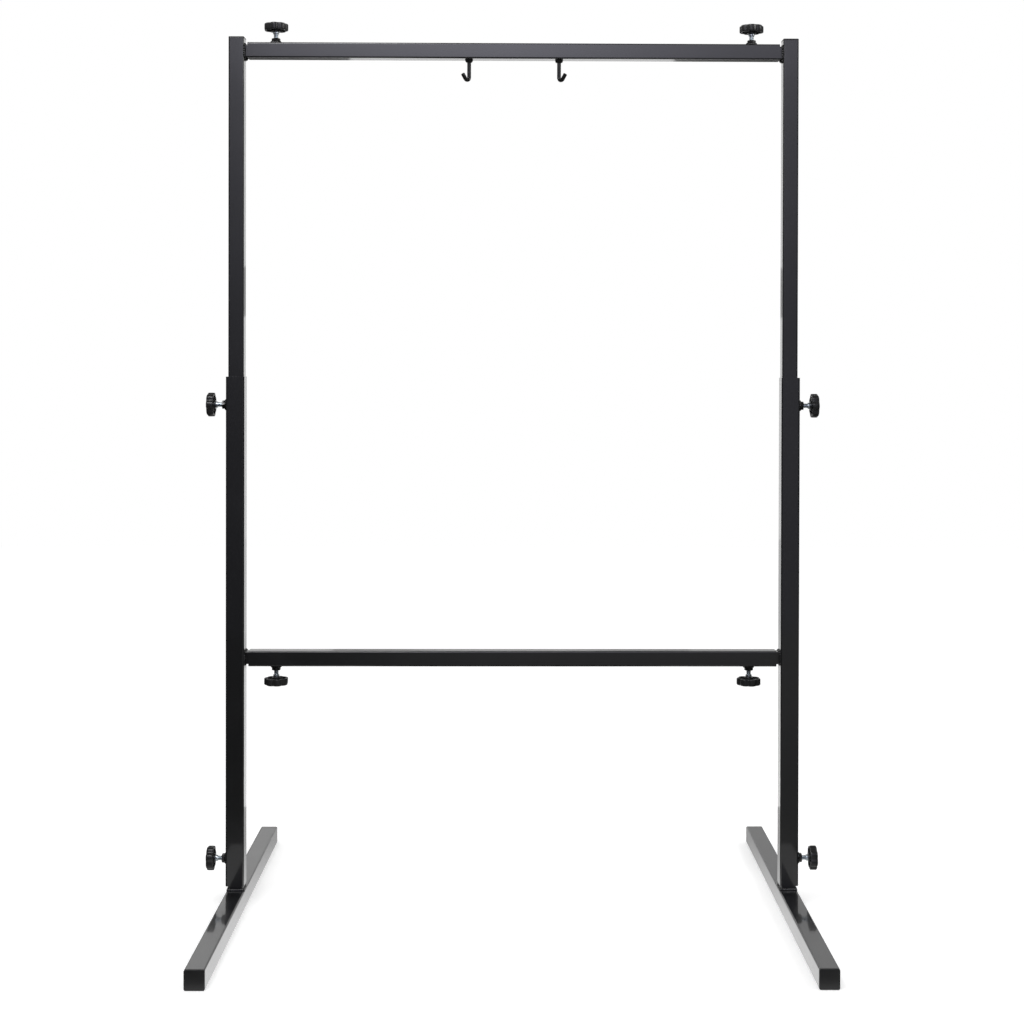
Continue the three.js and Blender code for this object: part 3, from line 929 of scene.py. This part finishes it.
leg_cap = push_in_cap(MEDIUM, flange=2.95 * MM)
foot_cap = push_in_cap(WIDE, flange=4.45 * MM)
for name in sides:
    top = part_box(f"{name}_upper_leg")[1]
    at = Matrix.Translation((middle(f"{name}_upper_leg").x, 0, top.z))
    node = f"{name}_upper_leg_cap"
    settle(leg_cap, f"{name}_leg_cap_lid", at, "upper_frame", "cap_plastic", cap_plastic, node)
    low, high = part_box(f"{name}_foot_tube")
    centre = (low + high) / 2
    for end, y, turn in (("front", low.y, quarter), ("rear", high.y, -quarter)):
        at = Matrix.Translation((centre.x, y, centre.z)) @ Matrix.Rotation(turn, 4, "X")
        node = f"{name}_foot_{end}_cap"
        settle(foot_cap, f"{node}_lid", at, "lower_frame", "cap_plastic", cap_plastic, node)
spare(leg_cap, foot_cap)
print("six caps are pushed in")

# %% [markdown]
# ## Hooks
# Each hook is one bent rod. A circle is drawn down as the shank, spun round the bend, and drawn on as the
# tip, so the section stays round all the way. A ring of weld holds it under the top bar.

# %% Bent rod hook
HOOK_X = 93 * MM
HOOK_GAP = 0.1 * MM
HOOK_TURN = math.radians(46)


def hook_rod(drop, radius, bend, sweep, tip):
    """A rod that hangs from the origin and bends up towards +X."""
    shank = drop - radius - bend
    start(bpy.ops.mesh.primitive_circle_add, vertices=24, radius=radius, fill_type="NGON")
    extrude(-shank)
    bpy.ops.mesh.spin(steps=18, angle=sweep, center=(bend, 0, -shank), axis=(0, 1, 0))
    heading = Vector((math.sin(sweep), 0, -math.cos(sweep)))
    bpy.ops.mesh.extrude_region_move(TRANSFORM_OT_translate={"value": tip * heading})
    pick("EDGE", lambda e: len(e.link_faces) == 2 and max(len(f.verts) for f in e.link_faces) > 8)
    bpy.ops.mesh.bevel(offset=0.5 * MM, segments=3, affect="EDGES")
    return close()


hook = hook_rod(drop=46.5 * MM, radius=4 * MM, bend=6 * MM, sweep=math.radians(140), tip=12 * MM)
hook_bead = bead(ring(4.9 * MM, 9), across=3.5, high=6.4, long=3.2, seed=47)
under_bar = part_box("top_crossbar")[0].z - HOOK_GAP
for name, side in sides.items():
    facing = (0 if side > 0 else math.pi) - side * HOOK_TURN
    at = Matrix.Translation((side * HOOK_X, 0, under_bar)) @ Matrix.Rotation(facing, 4, "Z")
    settle(hook, f"{name}_hook_rod", at, "upper_frame", "frame_paint", dull_coat, f"{name}_hook")
    settle(hook_bead, f"{name}_hook_weld", at, "upper_frame", "frame_paint", dull_coat)
spare(hook, hook_bead)
print("hooks are welded on")

# %% [markdown]
# ## The studio
# Black gloss shows its surroundings more than its own colour. The stand is therefore placed on a pale floor
# in white surroundings, and what its faces mirror is hung round it where the camera doesn't see it. The
# floor glows a little to the camera and to mirrors, but lights the stand no more than real paper would.

# %% Floor
FLOOR_GLOW = 0.42
FLOOR_DROP = 0.5 * MM


def seen_directly(nodes):
    """One where a ray comes from the camera, a mirror or glass, and nought elsewhere."""
    path = nodes.new("ShaderNodeLightPath")
    first = nodes.new("ShaderNodeMath")
    first.operation = "MAXIMUM"
    second = nodes.new("ShaderNodeMath")
    second.operation = "MAXIMUM"
    link(
        path.id_data,
        [
            (path.outputs["Is Camera Ray"], first.inputs[0]),
            (path.outputs["Is Glossy Ray"], first.inputs[1]),
            (first.outputs["Value"], second.inputs[0]),
            (path.outputs["Is Transmission Ray"], second.inputs[1]),
        ],
    )
    return second.outputs["Value"]


def pale_floor():
    """Matt white paper that fades into the white surroundings."""
    made = bpy.data.materials.new("pale_floor")
    made.use_nodes = True
    nodes = made.node_tree.nodes
    principled = nodes["Principled BSDF"]
    principled.inputs["Base Color"].default_value = (0.8, 0.8, 0.8, 1)
    principled.inputs["Roughness"].default_value = 0.9
    principled.inputs["Specular IOR Level"].default_value = 0
    principled.inputs["Emission Color"].default_value = (1, 1, 1, 1)
    glow = nodes.new("ShaderNodeMath")
    glow.operation = "MULTIPLY"
    glow.inputs[1].default_value = FLOOR_GLOW
    link(
        made.node_tree,
        [
            (seen_directly(nodes), glow.inputs[0]),
            (glow.outputs["Value"], principled.inputs["Emission Strength"]),
        ],
    )
    return made


bpy.ops.object.select_all(action="DESELECT")
bpy.ops.mesh.primitive_plane_add(size=14, location=(0, 0, 0))
floor = bpy.context.object
floor.name = "floor"
floor.data.transform(Matrix.Translation((0, 0, -FLOOR_DROP)))
floor.data.materials.append(pale_floor())
print("floor laid")

# %% White surroundings
world = bpy.data.worlds.new("white_room")
bpy.context.scene.world = world
world.use_nodes = True
tree = world.node_tree
background = tree.nodes["Background"]
background.inputs["Color"].default_value = (1, 1, 1, 1)
strength = tree.nodes.new("ShaderNodeMapRange")
strength.inputs["To Min"].default_value = 0.72
strength.inputs["To Max"].default_value = 1.0
link(
    tree,
    [
        (seen_directly(tree.nodes), strength.inputs["Value"]),
        (strength.outputs["Result"], background.inputs["Strength"]),
    ],
)
print("surroundings are white")

# %% [markdown]
# In front hangs one large soft panel that is bright at the top and fades downwards, with dark cloth over
# it, under it and on both sides: the round corners of the tube mirror that cloth as the thin dark lines
# that part one face from the next. Behind the stand, grey cloths set the tone of the inner faces of the
# legs and of the tops of the feet and the lower bar. Only mirrors see these sheets, and each one's paint is
# a small function that sets how strongly it glows from place to place.

# %% A sheet and its paint
def screen(name, corners, paint):
    """A flat sheet that only mirrors see."""
    bpy.ops.object.select_all(action="DESELECT")
    bpy.ops.mesh.primitive_plane_add(size=1, location=(0, 0, 0))
    sheet = bpy.context.object
    sheet.name = name
    for vertex, corner in zip(sheet.data.vertices, corners):
        vertex.co = corner
    sheet.visible_camera = False
    sheet.visible_diffuse = False
    sheet.visible_transmission = False
    sheet.visible_shadow = False
    made = bpy.data.materials.new(name)
    made.use_nodes = True
    nodes = made.node_tree.nodes
    nodes.remove(nodes["Principled BSDF"])
    glow = nodes.new("ShaderNodeEmission")
    paint(made.node_tree, glow)
    link(made.node_tree, [(glow.outputs["Emission"], nodes["Material Output"].inputs["Surface"])])
    sheet.data.materials.append(made)


def along(tree, axis, low, high, stops):
    """A value that follows the given stops from one place to another along an axis."""
    place = tree.nodes.new("ShaderNodeTexCoord")
    split = tree.nodes.new("ShaderNodeSeparateXYZ")
    share = tree.nodes.new("ShaderNodeMapRange")
    share.inputs["From Min"].default_value = low
    share.inputs["From Max"].default_value = high
    ramp = tree.nodes.new("ShaderNodeValToRGB")
    while len(ramp.color_ramp.elements) < len(stops):
        ramp.color_ramp.elements.new(0.5)
    for element, (position, level) in zip(ramp.color_ramp.elements, stops):
        element.position = position
        element.color = (level, level, level, 1)
    link(
        tree,
        [
            (place.outputs["Object"], split.inputs["Vector"]),
            (split.outputs[axis], share.inputs["Value"]),
            (share.outputs["Result"], ramp.inputs["Fac"]),
        ],
    )
    return ramp.outputs["Color"]


def combine(tree, operation, first, second):
    """One Math node on two values or sockets. A multiply-add adds one to their product."""
    node = tree.nodes.new("ShaderNodeMath")
    node.operation = operation
    node.inputs[2].default_value = 1.0
    for socket_in, value in zip(node.inputs, (first, second)):
        if isinstance(value, (int, float)):
            socket_in.default_value = value
        else:
            tree.links.new(value, socket_in)
    return node.outputs["Value"]


print("sheets can be hung")

# %% Paints
# Half the room's width, where its front and back sheets hang, and its ceiling's height, all in metres.
ROOM = 3.4
PANEL_Y = -3.6
BACK_Y = 6.0
CEILING = 4.6
PANEL_TINT = (1.0, 0.99, 1.15, 1)
PANEL_STRENGTH = 2.0
SPOT_GAIN = 1.4


def fading(tree, glow):
    """Brightest at the top in the middle, dim at the floor, dimmer on the left, and dark past its edges."""
    heights = (
        (0.0, 0.105),
        (0.05, 0.11),
        (0.3, 0.155),
        (0.44, 0.155),
        (0.6, 0.233),
        (0.75, 0.305),
        (0.81, 0.435),
    )
    left_shares = ((0.0, 0.4), (0.3, 0.42), (0.44, 0.7), (0.6, 0.77), (0.75, 0.83), (0.81, 1.0))
    middle_shares = ((0.12, 0.0), (0.17, 0.36), (0.35, 0.72), (0.5, 0.92), (0.68, 0.38), (0.82, 0.07))
    upward = along(tree, "Z", 0, 3, heights)
    on_left = along(tree, "X", -0.9, 0.4, ((0.0, 1.0), (1.0, 0.0)))
    loss = combine(tree, "SUBTRACT", 1.0, along(tree, "Z", 0, 3, left_shares))
    left_level = combine(tree, "SUBTRACT", 1.0, combine(tree, "MULTIPLY", on_left, loss))
    high = along(tree, "Z", 1.2, 2.4, ((0.0, 0.0), (1.0, 1.0)))
    middle_spot = combine(tree, "MULTIPLY", along(tree, "X", -1.5, 1.5, middle_shares), high)
    spot = combine(tree, "MULTIPLY_ADD", middle_spot, SPOT_GAIN)
    inside = along(tree, "X", -1.5, 1.5, ((0.0, 0.04), (0.04, 0.04), (0.07, 1.0), (0.93, 1.0), (0.96, 0.04)))
    level = combine(tree, "MULTIPLY", upward, left_level)
    level = combine(tree, "MULTIPLY", level, combine(tree, "MULTIPLY", spot, inside))
    glow.inputs["Color"].default_value = PANEL_TINT
    tree.links.new(combine(tree, "MULTIPLY", level, PANEL_STRENGTH), glow.inputs["Strength"])


def sideways(tree, glow):
    """A cloth on the floor that is darker on the left and towards the stand."""
    across = along(tree, "X", -1.2, 1.2, ((0.0, 0.045), (0.18, 0.045), (0.36, 0.17), (0.5, 0.2), (1.0, 0.21)))
    back = along(tree, "Y", -2.4, -0.9, ((0.0, 1.0), (1.0, 0.72)))
    tree.links.new(combine(tree, "MULTIPLY", across, back), glow.inputs["Strength"])


def rearward(tree, glow):
    """Floor beside a foot, darker behind the leg than in front of it."""
    level = along(tree, "Y", -0.4, 0.6, ((0.0, 1.0), (0.3, 0.95), (0.9, 0.5)))
    tree.links.new(level, glow.inputs["Strength"])


def rising(tree, glow):
    """A cloth that is dim at the floor and catches more light higher up."""
    tree.links.new(along(tree, "Z", 0, 3.2, ((0.0, 0.05), (0.4, 0.12), (1.0, 0.3))), glow.inputs["Strength"])


def even(level):
    """A paint that glows the same all over."""

    def paint(tree, glow):
        glow.inputs["Strength"].default_value = level

    return paint


print("the panel glows", PANEL_STRENGTH, "at full strength")

# %% [markdown]
# Most sheets lie on the floor, from front to back, or hang across the room, from left to right. Strips that
# flank the stand are given by their distance from its middle and hung once on each side.

# %% Soft panel and dark cloth
def on_floor(name, left, right, front, back, paint, taper=1.0):
    """A sheet on the floor, which the taper draws in at its back."""
    far_left, far_right = left * taper, right * taper
    screen(name, [(left, front, 0), (right, front, 0), (far_left, back, 0), (far_right, back, 0)], paint)


def hung(name, left, right, y, low, top, paint):
    """An upright sheet that faces the front."""
    screen(name, [(left, y, low), (right, y, low), (left, y, top), (right, y, top)], paint)


def strip(side, inner, outer):
    """The left and right edge of a strip that flanks the stand."""
    return sorted((side * inner, side * outer))


hung("soft_panel", -ROOM, ROOM, PANEL_Y, 0, CEILING, fading)
ceiling = [(x, y, CEILING) for y in (PANEL_Y, BACK_Y) for x in (-ROOM, ROOM)]
screen("ceiling_cloth", ceiling, even(0.16))
on_floor("front_cloth", -ROOM, ROOM, PANEL_Y, -0.5, sideways)
on_floor("middle_cloth", -0.4, 0.4, -0.5, 3.0, even(0.03), taper=0.1)
for name, side in sides.items():
    on_floor(f"{name}_inner_cloth", *strip(side, 0.4, 0.6), -0.5, 0.8, rearward)
    on_floor(f"{name}_outer_cloth", *strip(side, 0.6, 0.66), -0.5, 0.8, even(0.55))
    on_floor(f"{name}_floor_cloth", *strip(side, 0.66, ROOM), -0.5, 1.2, even(0.05))
    screen(f"{name}_cloth", [(side * ROOM, y, z) for z in (0, 3.2) for y in (PANEL_Y, 9.0)], rising)
    hung(f"{name}_middle_cloth", *strip(side, 0.5, 1.0), BACK_Y - 0.05, 1.7, 4.0, even(0.04))
    on_floor(f"{name}_far_cloth", *strip(side, 1.0, ROOM), 1.2, 5.8, even(0.04))
for name, back_level, floor_level in (("left", 0.72, 0.7), ("right", 0.54, 0.85)):
    hung(f"{name}_back_cloth", *strip(sides[name], 1.0, 4.0), BACK_Y, 0, 4.0, even(back_level))
    hung(f"{name}_low_cloth", *strip(sides[name], 0.9, 4.0), BACK_Y - 0.1, 0.35, 1.3, even(0.05))
    on_floor(f"{name}_back_floor", *strip(sides[name], 0, 0.9), 2.8, 7.5, even(floor_level))
hung("middle_back_cloth", -1.0, 1.0, BACK_Y, 1.4, 1.68, even(0.4))
print("panel and cloths are hung")

# %% [markdown]
# Two soft lamps add what mirrors can't: a little light on the matt parts, and the faint shadow on the floor.

# %% Lamps
def area_lamp(name, place, aim, width, depth, watts):
    """A rectangular lamp that faces a point."""
    lamp = bpy.data.lights.new(name, "AREA")
    lamp.shape = "RECTANGLE"
    lamp.size = width
    lamp.size_y = depth
    lamp.energy = watts
    holder = bpy.data.objects.new(name, lamp)
    holder.location = place
    holder.rotation_euler = (Vector(aim) - Vector(place)).to_track_quat("-Z", "Y").to_euler()
    holder.visible_camera = False
    bpy.context.collection.objects.link(holder)


stand_middle = (0, 0, 0.9)
area_lamp("high_lamp", (-0.9, -1.9, 3.4), stand_middle, width=1.3, depth=1.0, watts=38)
area_lamp("side_lamp", (2.6, -0.6, 2.7), stand_middle, width=1.0, depth=1.0, watts=16)
print("lamps are on")

# %% [markdown]
# ## View transform
# The render shows its colours through the Standard view transform.

# %% View transform
scene = bpy.context.scene
scene.view_settings.view_transform = "Standard"
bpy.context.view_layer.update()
